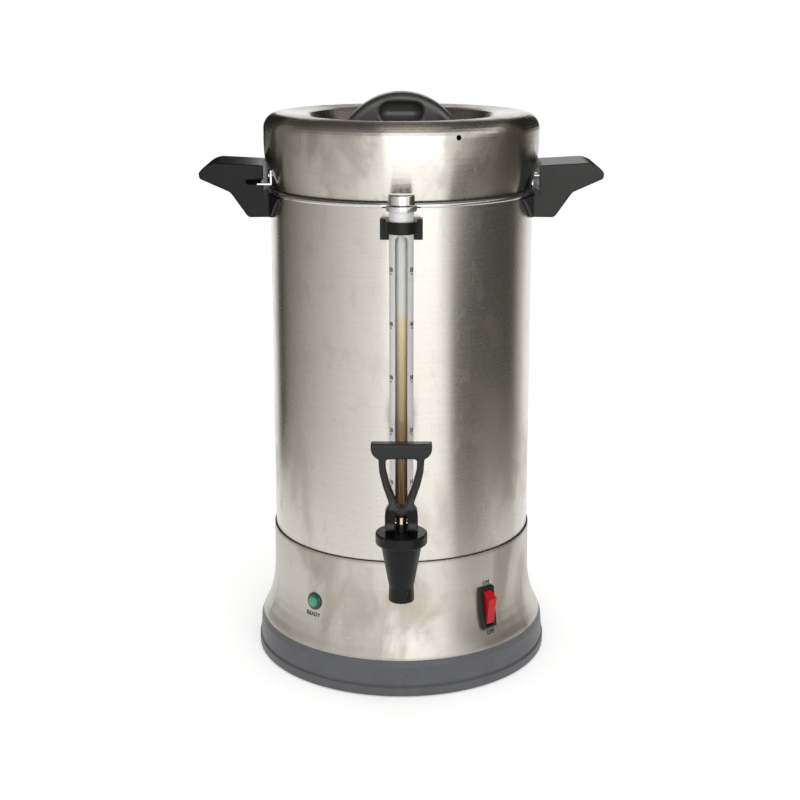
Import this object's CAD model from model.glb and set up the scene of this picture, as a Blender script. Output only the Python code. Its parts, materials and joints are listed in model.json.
"""Coffee urn dressed around its packed frame: brushed steel tank and lid, moulded knob,
handles and faucet, sight gauge, pilot lamp, switch and the studio it stands in."""

import json
import math

import bmesh
import bpy
from mathutils import Matrix, Vector
from mathutils.bvhtree import BVHTree


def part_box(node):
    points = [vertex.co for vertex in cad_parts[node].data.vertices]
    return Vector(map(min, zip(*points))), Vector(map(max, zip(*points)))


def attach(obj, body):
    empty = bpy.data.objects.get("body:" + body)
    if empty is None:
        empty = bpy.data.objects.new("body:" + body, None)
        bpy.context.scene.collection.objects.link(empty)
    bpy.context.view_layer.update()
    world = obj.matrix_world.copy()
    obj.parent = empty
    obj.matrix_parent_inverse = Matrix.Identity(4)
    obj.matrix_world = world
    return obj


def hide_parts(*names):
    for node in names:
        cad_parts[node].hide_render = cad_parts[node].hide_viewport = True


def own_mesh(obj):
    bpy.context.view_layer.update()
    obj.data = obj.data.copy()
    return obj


bl_info = {
    "name": "Coffee Urn",
    "version": (1, 0, 0),
    "blender": (4, 5, 0),
    "location": "3D View > Sidebar > Coffee Urn",
    "description": "Dresses a percolator coffee urn with its finishes and its small parts",
    "category": "Object",
}

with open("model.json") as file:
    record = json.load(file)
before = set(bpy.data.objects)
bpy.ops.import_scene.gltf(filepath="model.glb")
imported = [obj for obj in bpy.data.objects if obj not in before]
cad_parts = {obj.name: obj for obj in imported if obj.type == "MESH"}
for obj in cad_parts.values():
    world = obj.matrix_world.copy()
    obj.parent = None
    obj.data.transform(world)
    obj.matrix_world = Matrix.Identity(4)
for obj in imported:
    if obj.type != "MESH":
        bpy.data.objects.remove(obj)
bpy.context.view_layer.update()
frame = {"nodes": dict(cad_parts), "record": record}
NODES = frame["nodes"]
MM = 0.001

TANK_LOW, TANK_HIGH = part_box("tank_wall")
SKIRT_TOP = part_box("base_skirt")[1][2]
STEM_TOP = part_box("faucet_stem")[1][2]
CAP_LOW, CAP_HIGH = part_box("gauge_cap")
LENS_LOW, LENS_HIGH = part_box("lamp_lens")
GAUGE_LOW, GAUGE_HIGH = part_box("gauge_shield")
GAUGE_Y = (GAUGE_LOW[1] + GAUGE_HIGH[1]) / 2
SHIELD_R = (GAUGE_HIGH[0] - GAUGE_LOW[0]) / 2

WINDOW_HALF, WINDOW_LOW, WINDOW_HIGH = 0.0047, 0.1495, 0.3666  # the opening in the gauge's shield
LIP_R = 0.00032
MARK_ANGLE = math.radians(59)  # from the front of the shield to a column of marks
MARK_SIZE = (0.0025, 0.00022, 0.0006)
NUMBER_RISE = 0.003  # from a mark up to its number
INK_THICK = 0.00008
SLEEVE_DROP = 0.0055  # from the stem's top down to its black sleeve
LENS_RINGS = 7000.0  # prism rings of the lens, in radians per metre

# Bent cards around the urn. Each has its two ends in degrees from the front, the radius and the height
# of its lower and of its upper edge, the angles where it is darkest and lightest, and its shades there.
CARDS = (
    ("right_card", 34, 112, (1, 0), (1, 0.5), 44, 37.5, 0.075, 1.1),
    ("right_mat", 34, 112, (0.53, 0.002), (1, 0.002), 44, 37.5, 0.12, 1.1),
    ("near_right_mat", 34, 60, (0.3, 0.002), (0.53, 0.002), 46, 37, 0.44, 1.1),
    ("near_side_mat", 60, 112, (0.3, 0.002), (0.53, 0.002), 60, 80, 0.44, 0.85),
    ("far_right_card", 112, 180, (1, 0), (1, 0.36), 110, 138, 0.06, 1.08),
    ("far_right_mat", 112, 180, (0.57, 0.002), (1, 0.002), 110, 138, 0.08, 1.08),
    ("front_mat", -26, 34, (0.45, 0.002), (1.5, 0.002), -26, -8, 1.0, 1.4),
    ("upper_right_card", 34, 112, (1, 0.5), (1, 1.1), 50, 34, 0.12, 1.0),
    ("back_right_card", 112, 163, (1, 0.36), (1, 1.1), 1, 0, 0.02, 0.02),
    ("left_card", -117, -28, (0.55, 0), (0.55, 0.72), -117, -30, 0.18, 0.97),
    ("left_edge_card", -130, -117, (0.55, 0), (0.55, 0.72), 1, 0, 0.05, 0.05),
    ("back_left_card", -179.9, -130, (0.55, 0), (0.55, 0.34), -123, -145, 0.08, 1.15),
    ("upper_back_left_card", -163, -130, (0.55, 0.34), (0.55, 0.72), 1, 0, 0.02, 0.02),
)
# Flat cards above it: two opposite corners, the height and the shade.
FLAT_CARDS = (
    ("ceiling_card", (-1.25, -1.25), (1.25, 1.25), 1.1, 0.06),
    ("crest_card", (-0.16, -1.2), (0.34, -0.15), 1.05, 0.38),
)


# ---- sizes and colours

def number_of(name, default, words, low, high, kind=bpy.props.FloatProperty, **more):
    return kind(name=name, description=words, default=default, min=low, max=high, **more)


def length_of(name, default, words, low=0.0, high=2.0):
    return number_of(name, default, words, low, high, subtype="DISTANCE", unit="LENGTH", precision=5)


def share_of(name, default, words):
    return number_of(name, default, words, 0, 1, subtype="FACTOR")


def angle_of(name, degrees, words):
    return number_of(name, math.radians(degrees), words, -math.pi, math.pi, subtype="ANGLE")


def colour_of(name, default, piece):
    words, kind = "Colour of " + piece, bpy.props.FloatVectorProperty
    return number_of(name, default, words, 0, 1, kind, size=3, subtype="COLOR")


class UrnSteel(bpy.types.PropertyGroup):
    """Brushed and bright steel"""
    colour: colour_of("Steel", (0.655, 0.63, 0.575), "the brushed steel")
    bright: colour_of("Bright steel", (0.72, 0.72, 0.71), "the polished steel")
    stain: colour_of("Stain", (0.4, 0.32, 0.25), "the dried coffee and heat stains")
    roughness: share_of("Roughness", 0.26, "Roughness across the brushing")
    line: length_of("Brush line", 0.00012, "Width of one brush line", 0.00005, 0.002)
    line_length: length_of("Line length", 0.055, "Length of one brush line", 0.005, 0.3)
    roll: length_of("Rim roll", 0.002, "Radius of the tank's rolled rim", 0.0005, 0.005)
    staining: share_of("Staining", 0.74, "How stained the brushed steel is")


class UrnPlastic(bpy.types.PropertyGroup):
    """Moulded plastic and rubber"""
    black: colour_of("Black", (0.0055, 0.0055, 0.005), "the black plastic")
    faded: colour_of("Faded black", (0.025, 0.025, 0.0235), "the faded right handle")
    knob: colour_of("Knob", (0.028, 0.0275, 0.025), "the knob's worn plastic")
    slate: colour_of("Slate", (0.11, 0.113, 0.121), "the base ring")
    edge: length_of("Edge", 0.0005, "Cell size that sets how round moulded edges are", 0.0002, 0.002)
    grain: length_of("Grain", 0.0004, "Size of the moulded grain", 0.0001, 0.003)
    dust: share_of("Dust", 0.35, "How many light specks lie on the black parts")


class UrnGauge(bpy.types.PropertyGroup):
    """Sight gauge"""
    ridges: number_of("Cap ridges", 56, "Number of ridges around the flange", 12, 120, bpy.props.IntProperty)
    ridge_out: length_of("Ridge depth", 0.00035, "How far a ridge stands out of the flange", 0.0, 0.001)
    marks: number_of("Marks", 5, "Number of level marks in a column", 1, 12, bpy.props.IntProperty)
    mark_step: length_of("Mark step", 0.0405, "Distance between two level marks", 0.01, 0.1)
    mark_low: length_of("Lowest mark", 0.1757, "Height of the lowest level mark", 0.1, 0.3)
    letter: length_of("Number height", 0.0031, "Height of the level numbers", 0.001, 0.006)
    coffee: length_of("Coffee level", 0.304, "Height of the coffee in the glass", 0.13, 0.37)
    tea: colour_of("Weak coffee", (0.98, 0.82, 0.52), "the top of the coffee")
    brew: colour_of("Strong coffee", (0.3, 0.165, 0.066), "the bottom of the coffee")


class UrnControls(bpy.types.PropertyGroup):
    """Switch, pilot lamp and their words"""
    letter: length_of("Letter height", 0.003, "Height of the words beside the controls", 0.001, 0.01)
    lamp: colour_of("Lamp", (0.08, 0.37, 0.23), "the pilot lamp's lens")
    rocker: colour_of("Rocker", (0.52, 0.006, 0.01), "the switch rocker")
    switch_z: length_of("Switch height", 0.0602, "Height of the switch's centre", 0.03, 0.1)
    switch_az: angle_of("Switch angle", 39, "Angle of the switch around the tank")
    lamp_z: length_of("Lamp height", 0.0642, "Height of the lamp's centre", 0.03, 0.1)
    lamp_az: angle_of("Lamp angle", -40.3, "Angle of the lamp around the tank")


class UrnStudio(bpy.types.PropertyGroup):
    """Floor, lamps and camera"""
    floor: colour_of("Floor", (0.86, 0.86, 0.86), "the floor")
    floor_size: length_of("Floor size", 12.0, "Width of the floor", 1.0, 40.0)
    soft_light: number_of("Soft light", 0.62, "Strength of the light from all around", 0, 4)
    front_light: number_of("Front lamp", 8.8, "Power of the large front lamp", 0, 500, unit="POWER")
    top_light: number_of("Top lamp", 8.0, "Power of the lamp above", 0, 500, unit="POWER")
    camera_back: length_of("Camera distance", 1.2, "Distance of the camera in front of the urn", 0.3, 10)
    camera_z: length_of("Camera height", 0.5353, "Height of the camera", 0.0, 3.0)
    camera_pitch: angle_of("Camera pitch", 12.23, "Angle at which the camera looks down")
    lens: number_of("Lens", 67.29, "Focal length in millimetres on a 36 mm sensor", 10, 300)


# ---- node trees

def label(key):
    """The name of the socket that a keyword stands for."""
    return key.replace("_", " ").capitalize()


def socket(tree, name, way, kind):
    return tree.interface.new_socket(name=name, in_out=way, socket_type="NodeSocket" + kind)


def put(tree, end, value):
    """Links a value to a socket, or sets it there."""
    if isinstance(value, bpy.types.NodeSocket):
        tree.links.new(value, end)
    else:
        end.default_value = value


def add(tree, kind, inputs=None, **settings):
    """A node with its settings, and with each input set or linked."""
    node = tree.nodes.new(kind)
    for key, value in settings.items():
        setattr(node, key, value)
    for key, value in (inputs or {}).items():
        put(tree, node.inputs[key], value)
    return node


def first(tree, kind, inputs=None, **settings):
    """The first output of a new node."""
    return add(tree, kind, inputs, **settings).outputs[0]


def calc(tree, operation, *values, clamp=False):
    return first(tree, "ShaderNodeMath", dict(enumerate(values)), operation=operation, use_clamp=clamp)


def times(tree, a, b):
    return calc(tree, "MULTIPLY", a, b)


def vector(tree, operation, *values):
    node = add(tree, "ShaderNodeVectorMath", dict(enumerate(values)), operation=operation)
    return node.outputs["Value" if operation in ("DOT_PRODUCT", "LENGTH", "DISTANCE") else "Vector"]


def scaled(tree, value, scale):
    return add(tree, "ShaderNodeVectorMath", {0: value, "Scale": scale}, operation="SCALE").outputs["Vector"]


def counted(tree, value, size):
    """A place counted in steps of a size."""
    return scaled(tree, value, calc(tree, "DIVIDE", 1.0, size))


def split(tree, value):
    return add(tree, "ShaderNodeSeparateXYZ", {0: value}).outputs


def joined(tree, **axes):
    return first(tree, "ShaderNodeCombineXYZ", axes)


def ramp(tree, value, low, high, to_low=0.0, to_high=1.0, smooth=False):
    return add(tree, "ShaderNodeMapRange", {
        "Value": value, "From Min": low, "From Max": high, "To Min": to_low, "To Max": to_high,
    }, interpolation_type="SMOOTHSTEP" if smooth else "LINEAR").outputs["Result"]


def grey_of(tree, value):
    return first(tree, "ShaderNodeCombineColor", {0: value, 1: value, 2: value})


def mixed(tree, factor, a, b, mode="MIX"):
    """Two colours mixed."""
    a, b = ((*c, 1.0) if isinstance(c, tuple) else c for c in (a, b))
    return add(tree, "ShaderNodeMix", {0: factor, 6: a, 7: b}, data_type="RGBA", blend_type=mode).outputs[2]


def noise(tree, at, detail=3.0, rough=0.55, distortion=0.0):
    return add(tree, "ShaderNodeTexNoise", {
        "Vector": at, "Scale": 1.0, "Detail": detail, "Roughness": rough, "Distortion": distortion,
    }).outputs["Fac"]


def bump(tree, height, distance, normal=None):
    inputs = {"Height": height, "Distance": distance}
    return first(tree, "ShaderNodeBump", inputs if normal is None else {**inputs, "Normal": normal})


def toned(colour, scale, lift=0.0):
    """A plain colour made lighter or darker."""
    return tuple(min(1.0, c * scale + lift) for c in colour)


# ---- effects

def effect(name, **inputs):
    """Makes draw(tree, inputs) give a shader node group with these inputs, which is built once."""
    def wrap(draw):
        def group():
            tree = bpy.data.node_groups.get(name)
            if tree:
                return tree
            tree = bpy.data.node_groups.new(name, "ShaderNodeTree")
            for key, default in inputs.items():
                made = socket(tree, label(key), "INPUT", "Vector" if default is None else "Float")
                if default is not None:
                    made.default_value = default
            drawn = draw(tree, tree.nodes.new("NodeGroupInput").outputs)
            for key in drawn:
                socket(tree, key, "OUTPUT", "Vector" if key == "Normal" else "Float")
            add(tree, "NodeGroupOutput", drawn)
            return tree
        return group
    return wrap


@effect("Circular brushing", place=None, line_width=0.0002, line_length=0.05)
def brushing(tree, given):
    """Fine lines that run around the urn's axis, on its walls and on its flat tops."""
    at = split(tree, given["Place"])
    flat = joined(tree, X=at["X"], Y=at["Y"])
    across = calc(tree, "MULTIPLY_ADD", vector(tree, "LENGTH", flat), 0.83, at["Z"])
    along = counted(tree, flat, given["Line length"])

    def lines(stretch):
        rise = calc(tree, "DIVIDE", across, times(tree, given["Line width"], stretch))
        return noise(tree, vector(tree, "ADD", along, joined(tree, Z=rise)), 2.0, 0.6)
    return {"Lines": lines(1.0), "Bands": lines(18.0)}


@effect("Smudges", place=None, size=0.05, amount=0.5, seed=0.0)
def smudges(tree, given):
    """Soft uneven patches, such as wiped coffee or finger grease."""
    at = vector(tree, "MULTIPLY", counted(tree, given["Place"], given["Size"]), (1.0, 1.0, 0.55))
    at = vector(tree, "ADD", at, joined(tree, X=given["Seed"], Z=given["Seed"]))
    cloud = noise(tree, at, 5.0, 0.58, distortion=0.5)
    edge = calc(tree, "SUBTRACT", 0.72, times(tree, given["Amount"], 0.3))
    return {"Mask": ramp(tree, cloud, edge, calc(tree, "ADD", edge, 0.16), smooth=True), "Cloud": cloud}


@effect("Scratches", place=None, size=0.02, amount=0.5)
def scratches(tree, given):
    """Short fine scratches in two directions."""
    marks = []
    for turn, tilt in ((0.5, 0.35), (-0.9, 1.2)):
        inputs = {"Vector": given["Place"], "Rotation": (tilt, turn, turn)}
        at = counted(tree, first(tree, "ShaderNodeMapping", inputs), given["Size"])
        thin = vector(tree, "MULTIPLY", at, (1.0, 28.0, 28.0))
        marks.append(ramp(tree, noise(tree, thin, 1.0, 0.4), 0.7, 0.76))
    return {"Mask": times(tree, calc(tree, "MAXIMUM", *marks), given["Amount"])}


@effect("Worn edges", radius=0.0006)
def worn_edges(tree, given):
    """Rounds the edges in the light, and finds where they are."""
    round_normal = first(tree, "ShaderNodeBevel", {"Radius": given["Radius"]}, samples=4)
    flat_normal = add(tree, "ShaderNodeNewGeometry").outputs["Normal"]
    bend = vector(tree, "DOT_PRODUCT", round_normal, flat_normal)
    return {"Mask": ramp(tree, bend, 0.995, 0.86), "Normal": round_normal}


@effect("Moulded grain", place=None, grain=0.0004)
def moulded_grain(tree, given):
    """The fine grain and the flow marks of moulded plastic."""
    at = counted(tree, given["Place"], given["Grain"])
    flow = noise(tree, scaled(tree, at, 0.035), distortion=0.8)
    return {"Height": noise(tree, at, 2.0, 0.5), "Mottle": flow}


@effect("Dust specks", place=None, spacing=0.003, share=0.3)
def dust(tree, given):
    """Separate light specks."""
    at = counted(tree, given["Place"], given["Spacing"])
    cells = add(tree, "ShaderNodeTexVoronoi", {"Vector": at, "Scale": 1.0}, feature="F1").outputs
    pick = add(tree, "ShaderNodeSeparateColor", {0: cells["Color"]}).outputs
    near = calc(tree, "LESS_THAN", cells["Distance"], times(tree, pick[1], 0.12))
    return {"Mask": times(tree, near, calc(tree, "LESS_THAN", pick[0], given["Share"]))}


# ---- finishes

class Finish:
    """A material whose tone and roughness are built up in steps and wired at the end."""

    def __init__(self, name, tone=(1.0, 1.0, 1.0), rough=0.5):
        self.material = bpy.data.materials.new(name)
        self.material.use_nodes = True
        self.tree = self.material.node_tree
        self.surface = self.tree.nodes["Principled BSDF"]
        self.place = add(self.tree, "ShaderNodeTexCoord").outputs["Object"]
        self.tone, self.rough = tuple(tone), rough

    def lay(self, group, **inputs):
        """The outputs of an effect that lies on the object."""
        node = add(self.tree, "ShaderNodeGroup", node_tree=group())
        if "Place" in node.inputs:
            inputs["place"] = self.place
        for key, value in inputs.items():
            put(self.tree, node.inputs[label(key)], value)
        return node.outputs

    def coat(self, mask, colour, share=1.0):
        """Lays a colour over the tone where the mask is."""
        if share != 1.0:
            mask = times(self.tree, mask, share)
        self.tone = mixed(self.tree, mask, self.tone, tuple(colour))

    def dull(self, mask, amount, clamp=False):
        """Adds to the roughness where the mask is."""
        self.rough = calc(self.tree, "MULTIPLY_ADD", mask, amount, self.rough, clamp=clamp)

    def tangent(self):
        """The direction around the urn's axis."""
        return first(self.tree, "ShaderNodeTangent", direction_type="RADIAL", axis="Z")

    def done(self, **sockets):
        for key, value in {"Base_Color": self.tone, "Roughness": self.rough, **sockets}.items():
            put(self.tree, self.surface.inputs[key.replace("_", " ")], value)
        return self.material

    def shine_with(self, shader):
        """Puts another shader in the place of the surface shader."""
        self.tree.links.new(shader, self.tree.nodes["Material Output"].inputs["Surface"])


def brushed_steel(name, sizes, seed, low=0.0, high=0.0, satin=0.0, shine=1.0, rounding=0.0, drawn=0.72):
    """Brushed steel with wiped stains. The stains are strongest at the height low and weakest at high."""
    made = Finish(name, toned(sizes.colour, shine))
    tree = made.tree
    grain = made.lay(brushing, line_width=sizes.line, line_length=sizes.line_length)
    wide = made.lay(smudges, size=0.055, amount=sizes.staining, seed=seed)
    small = made.lay(smudges, size=0.014, amount=sizes.staining * 0.8, seed=seed + 7.3)
    stain = wide["Mask"]
    if high > low:
        z = split(tree, made.place)["Z"]
        stain = times(tree, stain, ramp(tree, z, low, high, 1.0, 0.25, smooth=True))
    lines = ramp(tree, grain["Lines"], 0.3, 0.7, 0.955, 1.03)
    bands = ramp(tree, grain["Bands"], 0.35, 0.65, 0.985, 1.01)
    made.tone = mixed(tree, 1.0, made.tone, grey_of(tree, times(tree, lines, bands)), "MULTIPLY")
    made.coat(stain, sizes.stain, 0.48)
    made.coat(small["Mask"], sizes.stain, 0.16)
    made.coat(made.lay(dust, spacing=0.006, share=0.1)["Mask"], (0.9, 0.9, 0.88), 0.6)
    rough = ramp(tree, grain["Lines"], 0.3, 0.7, -0.015, 0.025)
    made.rough = calc(tree, "ADD", rough, sizes.roughness + satin)
    made.dull(stain, 0.1)
    made.dull(small["Mask"], 0.06)
    made.dull(made.lay(scratches, size=0.03, amount=0.5)["Mask"], 0.12, clamp=True)
    normal = made.lay(worn_edges, radius=rounding)["Normal"] if rounding else None
    return made.done(Metallic=1.0, Anisotropic=drawn, Anisotropic_Rotation=0.25, Tangent=made.tangent(),
                     Normal=bump(tree, grain["Lines"], 4e-6, normal))


def bright_steel(name, colour, rough, brushed=0.0, drawn=0.0, metal=1.0, sleeve_top=None):
    """Polished or drawn metal with finger marks and hairlines. Below sleeve_top a black sleeve covers it."""
    made = Finish(name, colour, rough)
    grease = made.lay(smudges, size=0.012, amount=0.55, seed=3.1)
    normal = made.lay(worn_edges, radius=0.0004)["Normal"]
    made.coat(grease["Cloud"], toned(colour, 0.72), 0.22)
    made.dull(grease["Mask"], 0.1)
    made.dull(made.lay(scratches, size=0.012, amount=0.7)["Mask"], 0.14)
    if brushed:
        lines = made.lay(brushing, line_width=0.0003, line_length=0.02)["Lines"]
        made.dull(lines, brushed)
        made.coat(lines, toned(colour, 0.7), 0.35)
        normal = bump(made.tree, lines, 2e-5, normal)
    more = {"Anisotropic": drawn, "Tangent": made.tangent()} if drawn else {}
    if sleeve_top is not None:
        height = split(made.tree, made.place)["Z"]
        metal = ramp(made.tree, height, sleeve_top - 0.0002, sleeve_top)
        made.tone = mixed(made.tree, metal, (0.012, 0.012, 0.012), made.tone)
    return made.done(Metallic=metal, Normal=normal, **more)


def moulded_plastic(name, sizes, colour, rough, relief=2e-5, dusty=1.0, wear=0.5, grain=None, gloss=0.25,
                    rounding=0.0005):
    """Moulded plastic: fine grain, flow marks, edges rubbed lighter and light specks."""
    made = Finish(name, colour, rough)
    tree = made.tree
    skin = made.lay(moulded_grain, grain=grain or sizes.grain)
    edges = made.lay(worn_edges, radius=rounding)
    specks = made.lay(dust, spacing=0.0022, share=sizes.dust * 0.25 * dusty)
    made.coat(ramp(tree, skin["Mottle"], 0.3, 0.7, 0.0, 0.28), toned(colour, 1.5, 0.004))
    made.coat(edges["Mask"], toned(colour, 2.0, 0.012), wear)
    made.coat(specks["Mask"], (0.55, 0.54, 0.5), 0.75)
    made.dull(made.lay(smudges, size=0.018, amount=0.6, seed=11.0)["Mask"], -0.07)
    made.dull(ramp(tree, skin["Height"], 0.3, 0.7), 0.08)
    made.dull(made.lay(scratches, size=0.016, amount=0.5)["Mask"], 0.14, clamp=True)
    return made.done(Specular_IOR_Level=gloss, Normal=bump(tree, skin["Height"], relief, edges["Normal"]))


def rubber(name, colour):
    made = Finish(name, colour)
    skin = made.lay(moulded_grain, grain=0.0007)
    made.coat(ramp(made.tree, skin["Mottle"], 0.3, 0.7, 0.0, 0.5), toned(colour, 1.8, 0.01))
    made.coat(made.lay(smudges, size=0.01, amount=0.6, seed=5.0)["Mask"], (0.22, 0.21, 0.2), 0.2)
    made.rough = ramp(made.tree, skin["Height"], 0.2, 0.8, 0.66, 0.86)
    return made.done(Normal=bump(made.tree, skin["Height"], 6e-5))


def ceramic(name, colour):
    made = Finish(name, colour)
    skin = made.lay(moulded_grain, grain=0.0012)
    made.coat(ramp(made.tree, skin["Height"], 0.3, 0.7, 0.0, 0.3), toned(colour, 0.82))
    made.coat(made.lay(smudges, size=0.006, amount=0.5, seed=2.0)["Mask"], (0.3, 0.25, 0.19), 0.35)
    made.rough = ramp(made.tree, skin["Height"], 0.3, 0.7, 0.45, 0.62)
    return made.done(Normal=bump(made.tree, skin["Height"], 5e-5))


def gauge_glass(name, sizes):
    """The gauge's glass: clear and a little misted above, stained below by the coffee that stands in it."""
    made = Finish(name, (0.97, 0.98, 0.94))
    tree, level = made.tree, sizes.coffee
    at = split(tree, made.place)
    film = made.lay(smudges, size=0.012, amount=0.6, seed=1.0)
    made.coat(film["Cloud"], (0.8, 0.8, 0.74), 0.35)
    depth = ramp(tree, at["Z"], level, GAUGE_LOW[2] + 0.01)
    wave = calc(tree, "MULTIPLY_ADD", calc(tree, "SUBTRACT", film["Cloud"], 0.5), 0.25, depth)
    brew = mixed(tree, ramp(tree, wave, 0.05, 0.75), sizes.tea[:], sizes.brew[:])
    filled = ramp(tree, at["Z"], level + 0.007, level - 0.006, smooth=True)
    made.tone = mixed(tree, filled, made.tone, brew)
    off_axis = calc(tree, "ABSOLUTE", calc(tree, "SUBTRACT", at["X"], 0.0008))
    sides = grey_of(tree, ramp(tree, off_axis, 0.0026, 0.005, 1.0, 0.68))
    made.tone = mixed(tree, 0.8, made.tone, sides, "MULTIPLY")
    made.rough = ramp(tree, film["Mask"], 0.0, 1.0, 0.05, 0.16)
    return made.done(Transmission_Weight=0.35, IOR=1.47)


def lamp_lens(name, sizes):
    """Green lens: a clearer dome with fine prism rings in a darker flange."""
    made = Finish(name, toned(sizes.lamp, 0.16, 0.003))
    tree = made.tree
    away = vector(tree, "DISTANCE", made.place, tuple((Vector(LENS_LOW) + Vector(LENS_HIGH)) / 2))
    wave = calc(tree, "SINE", times(tree, away, LENS_RINGS))
    rings = calc(tree, "MULTIPLY_ADD", wave, 0.5, 0.5)
    dome = ramp(tree, away, 0.0051, 0.0043)
    made.coat(dome, sizes.lamp)
    made.coat(times(tree, rings, dome), toned(sizes.lamp, 1.5, 0.03), 0.35)
    made.rough = ramp(tree, made.lay(smudges, size=0.004, amount=0.5, seed=4.0)["Mask"], 0, 1, 0.16, 0.3)
    edges = made.lay(worn_edges, radius=0.0003)
    return made.done(Transmission_Weight=0.15, IOR=1.49, Normal=bump(tree, rings, 4e-5, edges["Normal"]))


def rocker_plastic(name, sizes):
    """Glossy red plastic with rubbed edges."""
    made = Finish(name, sizes.rocker, 0.24)
    skin = made.lay(moulded_grain, grain=0.0008)
    edges = made.lay(worn_edges, radius=0.0004)
    made.coat(ramp(made.tree, skin["Mottle"], 0.3, 0.7, 0.0, 0.35), toned(sizes.rocker, 0.72))
    made.coat(edges["Mask"], (0.7, 0.04, 0.04), 0.5)
    made.dull(made.lay(scratches, size=0.008, amount=0.6)["Mask"], 0.2)
    return made.done(Normal=edges["Normal"], Specular_IOR_Level=0.3)


def print_ink(name, colour):
    made = Finish(name, colour)
    worn = made.lay(smudges, size=0.0015, amount=0.5, seed=9.0)
    made.coat(worn["Mask"], toned(colour, 3, 0.08), 0.5)
    made.rough = ramp(made.tree, worn["Cloud"], 0.3, 0.7, 0.4, 0.6)
    return made.done()


# ---- making pieces

def settle(piece, body, replaces=()):
    """Puts a finished piece on its body."""
    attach(piece, body)
    if replaces:
        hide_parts(*replaces)


def placed(name, data):
    """A new object of the scene, at the origin."""
    piece = bpy.data.objects.new(name, data)
    bpy.context.scene.collection.objects.link(piece)
    return piece


def dress(mesh, material=None, smooth=0):
    """Gives a mesh its material, and smooth shading but for its sharp edges."""
    if material is not None:
        mesh.materials.clear()
        mesh.materials.append(material)
    if smooth:
        mesh.shade_smooth()
        mesh.set_sharp_from_angle(angle=math.radians(smooth))


def mesh_from(work, name):
    """A plain mesh from an edited one, which is freed."""
    mesh = bpy.data.meshes.new(name)
    work.to_mesh(mesh)
    work.free()
    return mesh


def mesh_of(piece):
    """The mesh that the piece's modifiers or its letters make."""
    bpy.context.view_layer.update()
    graph = bpy.context.evaluated_depsgraph_get()
    return bpy.data.meshes.new_from_object(piece.evaluated_get(graph), depsgraph=graph)


def bake(piece):
    """Turns the piece's modifiers into a plain mesh."""
    mesh, old = mesh_of(piece), piece.data
    piece.modifiers.clear()
    piece.data = mesh
    bpy.data.meshes.remove(old)


def mould(node, name, cell, rounds, material, body="urn"):
    """Puts a welded, closed and relaxed copy in a CAD solid's place, with edges as round as a moulding's."""
    solid = bmesh.new()
    solid.from_mesh(NODES[node].data)
    bmesh.ops.remove_doubles(solid, verts=solid.verts, dist=1e-6)
    piece = placed(name, mesh_from(solid, name))
    grid = piece.modifiers.new("Grid", "REMESH")
    grid.mode = "VOXEL"
    grid.voxel_size = cell
    relax = piece.modifiers.new("Relax", "SMOOTH")
    relax.factor = 0.5
    relax.iterations = rounds
    bake(piece)
    dress(piece.data, material)
    piece.data.shade_smooth()
    settle(piece, body, [node])


def moulded(scene, name, colour, rough, solids, cell, rounds, body="urn", **look):
    """Moulds copies of CAD solids in a plastic of their own."""
    plastic = scene.urn_plastic
    finish = moulded_plastic(name, plastic, colour, rough, **look)
    for node, piece in solids.items():
        mould(node, piece, plastic.edge * cell, rounds, finish, body)


def around(radius, i, steps, x=0.0, y=0.0):
    """Step i of a circle around an upright axis."""
    turn = math.tau * i / steps
    return x + radius * math.cos(turn), y + radius * math.sin(turn)


def turned(name, outline, centre, material, steps=96):
    """A closed turned piece. The outline's radii and heights go from its low middle to its top middle."""
    work = bmesh.new()
    rings = [[work.verts.new((*around(r * MM, i, steps, *centre), z * MM)) for i in range(steps if r else 1)]
             for r, z in outline]
    for low, high in zip(rings, rings[1:]):
        for i in range(steps):
            j = (i + 1) % steps
            corners = low[i % len(low)], low[j % len(low)], high[j % len(high)], high[i % len(high)]
            work.faces.new(list(dict.fromkeys(corners)))
    bmesh.ops.recalc_face_normals(work, faces=work.faces)
    piece = placed(name, mesh_from(work, name))
    dress(piece.data, material, 35)
    return piece


def geometry_tree(name, **inputs):
    """An empty geometry tree with named inputs and one geometry output."""
    tree = bpy.data.node_groups.new(name, "GeometryNodeTree")
    socket(tree, "Geometry", "OUTPUT", "Geometry")
    for key, kind in {**inputs, "material": "Material"}.items():
        socket(tree, label(key), "INPUT", kind)
    return tree, tree.nodes.new("NodeGroupInput").outputs


def close_tree(tree, given, geometry):
    """Ends a tree with real geometry in its material."""
    real = first(tree, "GeometryNodeRealizeInstances", {"Geometry": geometry})
    made = first(tree, "GeometryNodeSetMaterial", {"Geometry": real, "Material": given["Material"]})
    add(tree, "NodeGroupOutput", {"Geometry": made})
    return tree


def grown(name, tree, base=None, smooth=30, **values):
    """Runs a geometry tree and keeps the plain mesh that it makes."""
    values = {label(key): value for key, value in values.items()}
    piece = placed(name, base or bpy.data.meshes.new(name))
    run = piece.modifiers.new("Nodes", "NODES")
    run.node_group = tree
    for item in tree.interface.items_tree:
        if item.in_out == "INPUT" and item.name in values:
            run[item.identifier] = values[item.name]
    bake(piece)
    if not piece.data.polygons:
        raise RuntimeError(f"{name} came out empty")
    dress(piece.data, smooth=smooth)
    return piece


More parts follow.
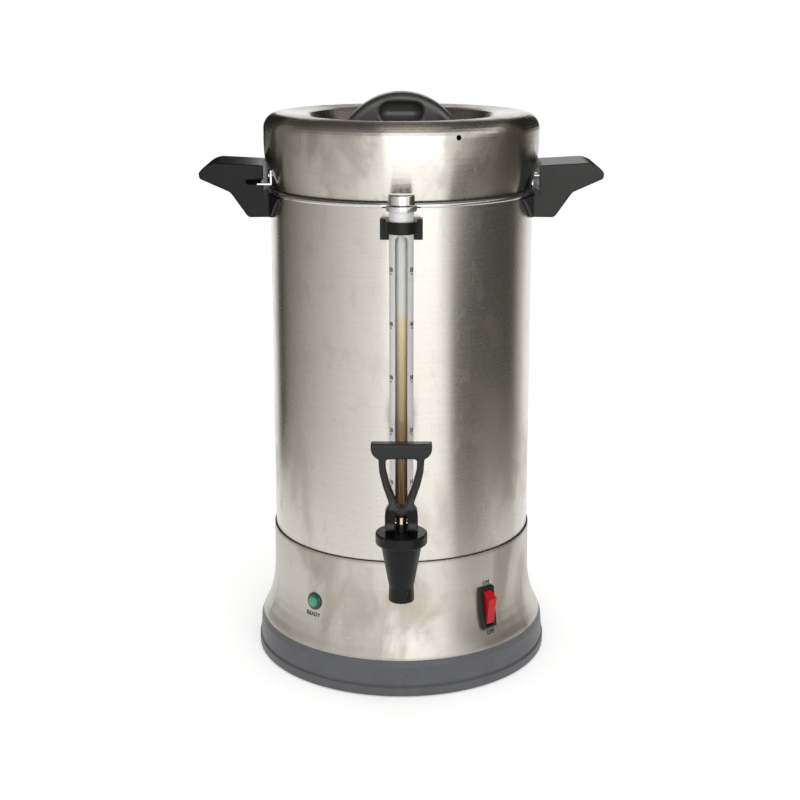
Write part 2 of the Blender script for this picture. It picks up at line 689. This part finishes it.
def ridge_ring_tree():
    """Small ridges side by side around an upright axis."""
    tree, given = geometry_tree("Ridge ring", centre="Vector", radius="Float", count="Int", height="Float",
                                depth="Float")
    circle = {"Vertices": given["Count"], "Radius": given["Radius"]}
    ring = first(tree, "GeometryNodeMeshCircle", circle)
    wide = times(tree, calc(tree, "DIVIDE", given["Radius"], given["Count"]), 2.4)
    ridge = add(tree, "GeometryNodeMeshCylinder", {
        "Vertices": 8, "Radius": times(tree, wide, 0.9), "Depth": given["Height"]}).outputs["Mesh"]
    squeeze = joined(tree, X=calc(tree, "DIVIDE", given["Depth"], wide), Y=1.0, Z=1.0)
    ridge = first(tree, "GeometryNodeTransform", {"Geometry": ridge, "Scale": squeeze})
    outward = {"Vector": first(tree, "GeometryNodeInputPosition")}
    turn = first(tree, "FunctionNodeAlignEulerToVector", outward, axis="X", pivot_axis="Z")
    copies = {"Points": ring, "Instance": ridge, "Rotation": turn}
    copies = first(tree, "GeometryNodeInstanceOnPoints", copies)
    moved = {"Geometry": copies, "Translation": given["Centre"]}
    return close_tree(tree, given, first(tree, "GeometryNodeTransform", moved))


def mark_column_tree():
    """Level marks one above another, laid on the shield."""
    tree, given = geometry_tree("Mark column", start="Vector", step="Float", count="Int", turn="Float",
                                size="Vector")
    line = {"Count": given["Count"], "Start Location": given["Start"], "Offset": joined(tree, Z=given["Step"])}
    points = first(tree, "GeometryNodeMeshLine", line)
    mark = add(tree, "GeometryNodeMeshCube", {"Size": given["Size"]}).outputs["Mesh"]
    copies = {"Points": points, "Instance": mark, "Rotation": joined(tree, Z=given["Turn"])}
    return close_tree(tree, given, first(tree, "GeometryNodeInstanceOnPoints", copies))


def bead_tree():
    """A round bead along a line of points."""
    tree, given = geometry_tree("Bead", line="Geometry", radius="Float")
    curve = first(tree, "GeometryNodeMeshToCurve", {"Mesh": given["Line"]})
    circle = {"Resolution": 8, "Radius": given["Radius"]}
    ring = first(tree, "GeometryNodeCurvePrimitiveCircle", circle)
    tube = {"Curve": curve, "Profile Curve": ring, "Fill Caps": True}
    return close_tree(tree, given, first(tree, "GeometryNodeCurveToMesh", tube))


def bead(name, points, radius, material, closed=False):
    """A bead through the given points, as one mesh."""
    last = len(points) - 1
    edges = [(i, i + 1) for i in range(last)] + ([(last, 0)] if closed else [])
    line = bpy.data.meshes.new(name)
    line.from_pydata(points, edges, [])
    return grown(name, bead_tree(), line, 60, radius=radius, material=material)


def surface_at(node):
    """Finds the radius of a node's outer face at an angle and a height."""
    found = BVHTree.FromObject(NODES[node], bpy.context.evaluated_depsgraph_get())

    def radius(az, z, axis_y=0.0):
        middle = Vector((0, axis_y, z))
        away = Vector((math.sin(az), -math.cos(az), 0))
        hit = found.ray_cast(middle + away * 0.4, -away)[0]
        if hit is None:
            raise RuntimeError(f"no face of {node} at {az}, {z}")
        return (hit - middle).length
    return radius


def lettering(name, word, height, az, z, radius_at, material, axis_y=0.0):
    """A printed word that lies on a round wall."""
    font = bpy.data.curves.new(name, "FONT")
    font.body = word
    font.align_x = font.align_y = "CENTER"
    font.size = height / 0.7
    font.extrude = 0.5
    font.offset = 0.065 * height
    font.resolution_u = 3
    font.space_character = 1.12
    text = placed(name, font)
    work = bmesh.new()
    work.from_mesh(mesh_of(text))
    bpy.data.objects.remove(text)
    bpy.data.curves.remove(font)
    bmesh.ops.remove_doubles(work, verts=work.verts, dist=1e-6)
    middle = radius_at(az, z, axis_y)
    for v in work.verts:
        around, up = az + v.co.x / middle, z + v.co.y
        r = radius_at(around, up, axis_y) + (INK_THICK if v.co.z > 0 else -INK_THICK / 2)
        v.co = (r * math.sin(around), axis_y - r * math.cos(around), up)
    bmesh.ops.recalc_face_normals(work, faces=work.faces)
    piece = placed(name, mesh_from(work, name))
    dress(piece.data, material, 30)
    settle(piece, "urn")


# ---- operators

class UrnPiece:
    """What the operators share."""
    bl_options = {"REGISTER"}

    def execute(self, context):
        self.make(context.scene)
        return {"FINISHED"}


class URN_OT_finishes(UrnPiece, bpy.types.Operator):
    """Gives every solid of the frame its finish"""
    bl_idname = "urn.finishes"
    bl_label = "Finish the Frame"

    def make(self, scene):
        steel, plastic, controls = scene.urn_steel, scene.urn_plastic, scene.urn_controls
        finishes = {
            "steel_bright": bright_steel("Polished steel", steel.bright, 0.16),
            "steel_plain": bright_steel("Plain steel", (0.5, 0.49, 0.47), 0.34, brushed=0.12),
            "aluminium_plain": bright_steel("Spun aluminium", (0.62, 0.62, 0.63), 0.3, brushed=0.16),
            "brass_parts": bright_steel("Brass", (0.66, 0.47, 0.21), 0.24, brushed=0.08),
            "plastic_black": moulded_plastic("Black plastic", plastic, plastic.black, 0.32),
            "plastic_slate": moulded_plastic("Slate plastic", plastic, plastic.slate, 0.36, relief=1.5e-5,
                                             dusty=0.4, wear=0.35, grain=0.0006),
            "rocker_red": rocker_plastic("Red rocker plastic", controls),
            "lamp_green": lamp_lens("Green lens", controls),
            "glass_tube": gauge_glass("Gauge glass", scene.urn_gauge),
            "rubber_black": rubber("Black rubber", (0.022, 0.022, 0.022)),
            "silicone_brown": rubber("Brown silicone", (0.24, 0.15, 0.1)),
            "ceramic_white": ceramic("White ceramic", (0.74, 0.72, 0.66)),
            "wire_sheath": rubber("Wire sheath", (0.045, 0.045, 0.05)),
        }
        own = {
            "tank_wall": brushed_steel("Tank steel", steel, 1.7, low=TANK_LOW[2], high=0.33),
            "base_skirt": brushed_steel("Skirt steel", steel, 6.1, satin=0.12, shine=0.95, rounding=0.004),
            "gauge_shield": bright_steel("Shield steel", (0.86, 0.86, 0.85), 0.4, brushed=0.06, drawn=0.85,
                                         metal=0.5),
            "faucet_stem": bright_steel("Stem brass", (0.74, 0.58, 0.36), 0.18,
                                        sleeve_top=STEM_TOP - SLEEVE_DROP),
            "lid_shell": brushed_steel("Lid steel", steel, 3.4, satin=-0.03, shine=1.08, drawn=0.96),
        }
        for row in frame["record"]["subparts"]:
            node = row["node"]
            dress(NODES[node].data, own.get(node) or finishes[row["material_slot"]])


class URN_OT_knob(UrnPiece, bpy.types.Operator):
    """Makes the lid's moulded knob with its two thumb hollows"""
    bl_idname = "urn.knob"
    bl_label = "Lid Knob"

    def make(self, scene):
        moulded(scene, "Knob plastic", scene.urn_plastic.knob, 0.27, {"lid_knob": "knob"}, 1.0, 36, "lid",
                relief=8e-6, dusty=0.6, wear=0.05, gloss=0.95, rounding=0.003)


class URN_OT_handles(UrnPiece, bpy.types.Operator):
    """Makes the two moulded side handles with their saddles"""
    bl_idname = "urn.handles"
    bl_label = "Side Handles"

    def make(self, scene):
        plastic = scene.urn_plastic
        for side, colour in (("left", plastic.black), ("right", plastic.faded)):
            moulded(scene, "Handle plastic " + side, colour, 0.28, {"handle_" + side: "grip_" + side}, 1.2, 6,
                    relief=1.2e-5, dusty=0.5, wear=0.4, gloss=0.22, rounding=0.0011)


class URN_OT_faucet(UrnPiece, bpy.types.Operator):
    """Makes the faucet's body, its bonnet and the gauge's socket"""
    bl_idname = "urn.faucet"
    bl_label = "Faucet"

    def make(self, scene):
        solids = {"faucet_body": "spout", "faucet_bonnet": "bonnet", "gauge_base": "gauge_socket"}
        moulded(scene, "Faucet plastic", scene.urn_plastic.black, 0.26, solids, 0.9, 4, relief=1e-5, dusty=1.6,
                gloss=0.2, rounding=0.0009)


class URN_OT_lever(UrnPiece, bpy.types.Operator):
    """Makes the faucet's lever with its finger loop"""
    bl_idname = "urn.lever"
    bl_label = "Faucet Lever"

    def make(self, scene):
        moulded(scene, "Lever plastic", scene.urn_plastic.black, 0.24, {"lever": "pull_lever"}, 0.7, 18,
                "lever_body", relief=8e-6, dusty=1.6, wear=0.12, gloss=0.38, rounding=0.0028)


class URN_OT_spring(UrnPiece, bpy.types.Operator):
    """Winds the spring that holds the faucet shut and is pressed together when the stem rises"""
    bl_idname = "urn.spring"
    bl_label = "Stem Spring"

    def make(self, scene):
        wire_r, turns, steps = 0.0007, 5, 24
        low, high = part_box("stem_spring")
        middle_x, middle_y = (low[0] + high[0]) / 2, (low[1] + high[1]) / 2
        coil_r = (high[0] - low[0]) / 2 - wire_r
        rise = (high[2] - low[2] - 2 * wire_r) / (turns * steps)
        coil = [(*around(coil_r, i, steps, middle_x, middle_y), low[2] + wire_r + rise * i)
                for i in range(turns * steps + 1)]
        finish = bright_steel("Spring steel", scene.urn_steel.bright, 0.22, brushed=0.06)
        spring = bead("coil_spring", coil, wire_r, finish)
        settle(spring, "stem", ["stem_spring"])
        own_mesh(spring)


class URN_OT_gauge(UrnPiece, bpy.types.Operator):
    """Makes the gauge's cap, bracket, window lip, marks and numbers"""
    bl_idname = "urn.gauge"
    bl_label = "Sight Gauge"

    def make(self, scene):
        chrome = bright_steel("Cap steel", scene.urn_steel.bright, 0.14)
        self.cap(scene.urn_gauge, chrome)
        moulded(scene, "Bracket plastic", scene.urn_plastic.black, 0.34, {"gauge_bracket": "bracket"}, 0.9, 4,
                relief=1.5e-5, dusty=0.5, wear=0.4)
        settle(bead("window_lip", self.window(), LIP_R, chrome, closed=True), "urn")
        self.scale(scene.urn_gauge)

    def cap(self, gauge, chrome):
        """The turned cap with the ridges around its flange."""
        low, high = CAP_LOW[2] / MM, CAP_HIGH[2] / MM
        flange = (CAP_HIGH[0] - CAP_LOW[0]) / 2 / MM - 0.1
        crown = flange - 1.3
        inner = SHIELD_R / MM + 0.3
        cap = turned("cap_crown", [
            (0, low + 4.5), (inner, low + 4.5), (inner, low + 0.25), (inner + 0.25, low), (flange - 0.5, low),
            (flange - 0.15, low + 0.15), (flange, low + 0.5), (flange, low + 3.9), (flange - 0.2, low + 4.25),
            (flange - 0.7, low + 4.5), (crown + 0.1, low + 5), (crown, low + 5.4), (crown - 0.3, high - 1.5),
            (crown - 0.5, high - 0.9), (crown - 0.95, high - 0.35), (crown - 1.7, high - 0.1), (0, high),
        ], (0, GAUGE_Y), chrome)
        settle(cap, "cap", ["gauge_cap"])
        ridges = grown("cap_ridges", ridge_ring_tree(), centre=(0, GAUGE_Y, CAP_LOW[2] + 0.0022),
                       radius=(flange - 0.25) * MM, count=gauge.ridges, height=0.0034, depth=gauge.ridge_out,
                       material=chrome)
        settle(ridges, "cap")

    def window(self, steps=24):
        """The edge of the shield's window: straight sides and a round top."""
        reach = GAUGE_Y - math.sqrt(SHIELD_R ** 2 - WINDOW_HALF ** 2)
        top = WINDOW_HIGH - WINDOW_HALF
        rim = [(-WINDOW_HALF, reach, WINDOW_LOW), (-WINDOW_HALF, reach, top)]
        for i in range(1, steps):
            turn = math.pi - math.pi * i / steps
            x = WINDOW_HALF * math.cos(turn)
            rim.append((x, GAUGE_Y - math.sqrt(SHIELD_R ** 2 - x * x), top + WINDOW_HALF * math.sin(turn)))
        return rim + [(WINDOW_HALF, reach, top), (WINDOW_HALF, reach, WINDOW_LOW)]

    def scale(self, gauge):
        """A column of marks with their numbers at each side of the window."""
        radius_at = surface_at("gauge_shield")
        ink = print_ink("Gauge print", (0.02, 0.02, 0.022))
        for side, name in ((-1, "left"), (1, "right")):
            turn = side * MARK_ANGLE
            start = (SHIELD_R * math.sin(turn), GAUGE_Y - SHIELD_R * math.cos(turn), gauge.mark_low)
            marks = grown("marks_" + name, mark_column_tree(), start=start, step=gauge.mark_step,
                          count=gauge.marks, turn=turn, size=MARK_SIZE, material=ink)
            settle(marks, "urn")
            for i in range(gauge.marks):
                z = gauge.mark_low + i * gauge.mark_step + NUMBER_RISE
                lettering(f"number_{name}_{i + 1}", str(10 * (i + 1)), gauge.letter, turn, z, radius_at, ink,
                          GAUGE_Y)


class URN_OT_controls(UrnPiece, bpy.types.Operator):
    """Makes the switch's bezel and rocker, and the words beside the controls"""
    bl_idname = "urn.controls"
    bl_label = "Switch and Lamp"

    def make(self, scene):
        controls = scene.urn_controls
        moulded(scene, "Bezel plastic", (0.012, 0.012, 0.016), 0.3, {"switch_housing": "switch_bezel"}, 0.7, 4,
                relief=1e-5, dusty=0.3)
        red, cell = rocker_plastic("Rocker plastic", controls), scene.urn_plastic.edge * 0.5
        mould("switch_rocker", "rocker_paddle", cell, 3, red, "rocker")
        radius_at = surface_at("base_skirt")
        ink = print_ink("Panel print", (0.012, 0.012, 0.014))
        for word, az, z in (
            ("ON", controls.switch_az + 0.002, controls.switch_z + 0.0203),
            ("OFF", controls.switch_az + 0.009, controls.switch_z - 0.0202),
            ("READY", controls.lamp_az - 0.006, controls.lamp_z - 0.0107),
        ):
            lettering("word_" + word.lower(), word, controls.letter, az, z, radius_at, ink)


class URN_OT_seams(UrnPiece, bpy.types.Operator):
    """Lays the bead between the tank and the skirt, the polished roll of the rim and the lid's seal"""
    bl_idname = "urn.seams"
    bl_label = "Seams"

    def make(self, scene):
        steel = scene.urn_steel
        sealant = rubber("Sealant", (0.016, 0.015, 0.014))
        polished = bright_steel("Rim steel", steel.bright, 0.14)
        wall, steps = TANK_HIGH[0] - steel.roll, 240
        for name, radius, z, thick, finish, slot in (
            ("seam_bead", wall + 0.0004, SKIRT_TOP, 0.0006, sealant, "rubber_black"),
            ("rim_roll", wall + 0.00015, TANK_HIGH[2] - steel.roll, steel.roll, polished, "steel_bright"),
            ("lid_seal", wall - 0.0002, TANK_HIGH[2] + 0.0001, 0.0006, sealant, "rubber_black"),
        ):
            ring = [(*around(radius, i, steps), z) for i in range(steps)]
            settle(bead(name, ring, thick, finish, closed=True), "urn")


class URN_OT_studio(UrnPiece, bpy.types.Operator):
    """Sets up the floor, the lamps, the reflecting cards and the camera"""
    bl_idname = "urn.studio"
    bl_label = "Studio"

    def make(self, scene):
        studio = scene.urn_studio
        self.floor(studio)
        self.world(scene, studio)
        self.lamps(studio)
        self.cards()
        camera = placed("Camera", bpy.data.cameras.new("Camera"))
        camera.location = (0, -studio.camera_back, studio.camera_z)
        camera.rotation_euler = (math.radians(90) - studio.camera_pitch, 0, 0)
        camera.data.sensor_width = 36
        camera.data.lens = studio.lens
        camera.data.shift_x = -0.0017
        camera.data.shift_y = -0.099
        camera.data.clip_end = 100
        scene.camera = camera
        scene.view_settings.view_transform = "Standard"

    def seen(self, tree):
        """Camera, mirror and glass rays, which see the plain white background."""
        rays = add(tree, "ShaderNodeLightPath").outputs
        either = calc(tree, "MAXIMUM", rays["Is Camera Ray"], rays["Is Glossy Ray"])
        return calc(tree, "MAXIMUM", either, rays["Is Transmission Ray"])

    def light(self, tree, kind, strength, colour=(1.0, 1.0, 1.0, 1.0)):
        return first(tree, kind, {"Color": colour, "Strength": strength})

    def floor(self, studio):
        """A floor that keeps the urn's shadow and turns plain white away from it."""
        haze, fade_from, fade_to = 0.37, 0.16, 0.48
        work = bmesh.new()
        bmesh.ops.create_grid(work, x_segments=24, y_segments=24, size=studio.floor_size / 2)
        mesh = mesh_from(work, "floor")
        mesh.transform(Matrix.Translation((0, 0, -0.0001)))
        made = Finish("Studio floor", studio.floor, 0.75)
        tree = made.tree
        skin = noise(tree, scaled(tree, made.place, 40.0))
        made.coat(ramp(tree, skin, 0.3, 0.7), toned(studio.floor, 0.985))
        dress(mesh, made.done(Specular_IOR_Level=0.1))
        glow = self.light(tree, "ShaderNodeEmission", times(tree, self.seen(tree), haze))
        lit = first(tree, "ShaderNodeAddShader", {0: made.surface.outputs[0], 1: glow})
        white = self.light(tree, "ShaderNodeEmission", 1.0)
        away = ramp(tree, vector(tree, "LENGTH", made.place), fade_from, fade_to, smooth=True)
        far = times(tree, away, self.seen(tree))
        made.shine_with(first(tree, "ShaderNodeMixShader", {0: far, 1: lit, 2: white}))
        placed("floor", mesh)

    def world(self, scene, studio):
        world = bpy.data.worlds.new("Studio")
        world.use_nodes = True
        tree = world.node_tree
        tree.nodes.clear()
        soft = self.light(tree, "ShaderNodeBackground", studio.soft_light, (1.0, 0.995, 0.985, 1))
        white = self.light(tree, "ShaderNodeBackground", 1.0)
        both = first(tree, "ShaderNodeMixShader", {0: self.seen(tree), 1: soft, 2: white})
        add(tree, "ShaderNodeOutputWorld", {"Surface": both})
        scene.world = world

    def lamps(self, studio):
        aim = Vector((0, 0, 0.3))
        for name, power, size, at in (
            ("Front lamp", studio.front_light, (1.5, 1.6), (0.28, -1.55, 0.85)),
            ("Top lamp", studio.top_light, (0.8, 1.6), (0.05, -0.3, 1.9)),
        ):
            data = bpy.data.lights.new(name, "AREA")
            data.shape = "RECTANGLE"
            data.size, data.size_y = size
            data.energy = power
            lamp = placed(name, data)
            lamp.location = at
            lamp.rotation_euler = (aim - Vector(at)).to_track_quat("-Z", "Y").to_euler()

    def cards(self, steps=32):
        """Cards that gloss mirrors, as a photographer stands them up for steel."""
        for name, start, end, lower, upper, dark_az, light_az, dark, light in CARDS:
            corners = []
            for i in range(steps + 1):
                az = math.radians(start + (end - start) * i / steps)
                corners += [(r * math.sin(az), -r * math.cos(az), z) for r, z in (lower, upper)]
            faces = [(i, i + 1, i + 3, i + 2) for i in range(0, 2 * steps, 2)]
            self.card(name, corners, faces, dark, light, math.radians(dark_az), math.radians(light_az))
        for name, (left, front), (right, back), z, grey in FLAT_CARDS:
            corners = [(left, front, z), (right, front, z), (right, back, z), (left, back, z)]
            self.card(name, corners, [(0, 1, 2, 3)], grey, grey)

    def card(self, name, corners, faces, dark, light, dark_az=0.0, light_az=1.0):
        """A glowing card that only gloss shows. Above lean_from its shades lean around the urn."""
        lean_from, lean = 0.22, 1.4
        mesh = bpy.data.meshes.new(name)
        mesh.from_pydata(corners, [], faces)
        made = Finish(name.replace("_", " ").capitalize())
        tree = made.tree
        at = split(tree, made.place)
        az = calc(tree, "ARCTAN2", at["X"], times(tree, at["Y"], -1.0))
        above = calc(tree, "MAXIMUM", calc(tree, "SUBTRACT", at["Z"], lean_from), 0.0)
        az = calc(tree, "SUBTRACT", az, times(tree, above, lean))
        felt = ramp(tree, noise(tree, scaled(tree, made.place, 30.0)), 0.3, 0.7, 0.95, 1.05)
        grey = times(tree, ramp(tree, az, dark_az, light_az, dark, light), felt)
        tint = mixed(tree, ramp(tree, grey, 0.0, 1.0), (1.0, 0.93, 0.8), (1.0, 1.0, 1.0))
        made.shine_with(self.light(tree, "ShaderNodeEmission", grey, tint))
        dress(mesh, made.material)
        card = placed(name, mesh)
        for ray in ("camera", "diffuse", "shadow", "transmission"):
            setattr(card, "visible_" + ray, False)


class URN_PT_panel(bpy.types.Panel):
    """Lists the urn's sizes and pieces"""
    bl_idname = "URN_PT_panel"
    bl_label = "Coffee Urn"
    bl_space_type = "VIEW_3D"
    bl_region_type = "UI"
    bl_category = "Coffee Urn"

    def draw(self, context):
        for name, group in SETTINGS.items():
            box = self.layout.box()
            box.label(text=group.__doc__)
            for key in group.__annotations__:
                box.prop(getattr(context.scene, name), key)
        for operator in PIECES:
            self.layout.operator(operator.bl_idname)


PIECES = (URN_OT_studio, URN_OT_finishes, URN_OT_knob, URN_OT_handles, URN_OT_faucet, URN_OT_lever,
          URN_OT_spring, URN_OT_gauge, URN_OT_controls, URN_OT_seams)
SETTINGS = {
    "urn_steel": UrnSteel,
    "urn_plastic": UrnPlastic,
    "urn_gauge": UrnGauge,
    "urn_controls": UrnControls,
    "urn_studio": UrnStudio,
}


def register():
    for name, group in SETTINGS.items():
        bpy.utils.register_class(group)
        setattr(bpy.types.Scene, name, bpy.props.PointerProperty(type=group))
    for operator in PIECES:
        bpy.utils.register_class(operator)
    bpy.utils.register_class(URN_PT_panel)


def unregister():
    bpy.utils.unregister_class(URN_PT_panel)
    for operator in reversed(PIECES):
        bpy.utils.unregister_class(operator)
    for name, group in SETTINGS.items():
        delattr(bpy.types.Scene, name)
        bpy.utils.unregister_class(group)


def main():
    register()
    bpy.ops.urn.studio()
    bpy.ops.urn.finishes()
    bpy.ops.urn.knob()
    bpy.ops.urn.handles()
    bpy.ops.urn.faucet()
    bpy.ops.urn.lever()
    bpy.ops.urn.spring()
    bpy.ops.urn.gauge()
    bpy.ops.urn.controls()
    bpy.ops.urn.seams()


if __name__ == "__main__":
    main()
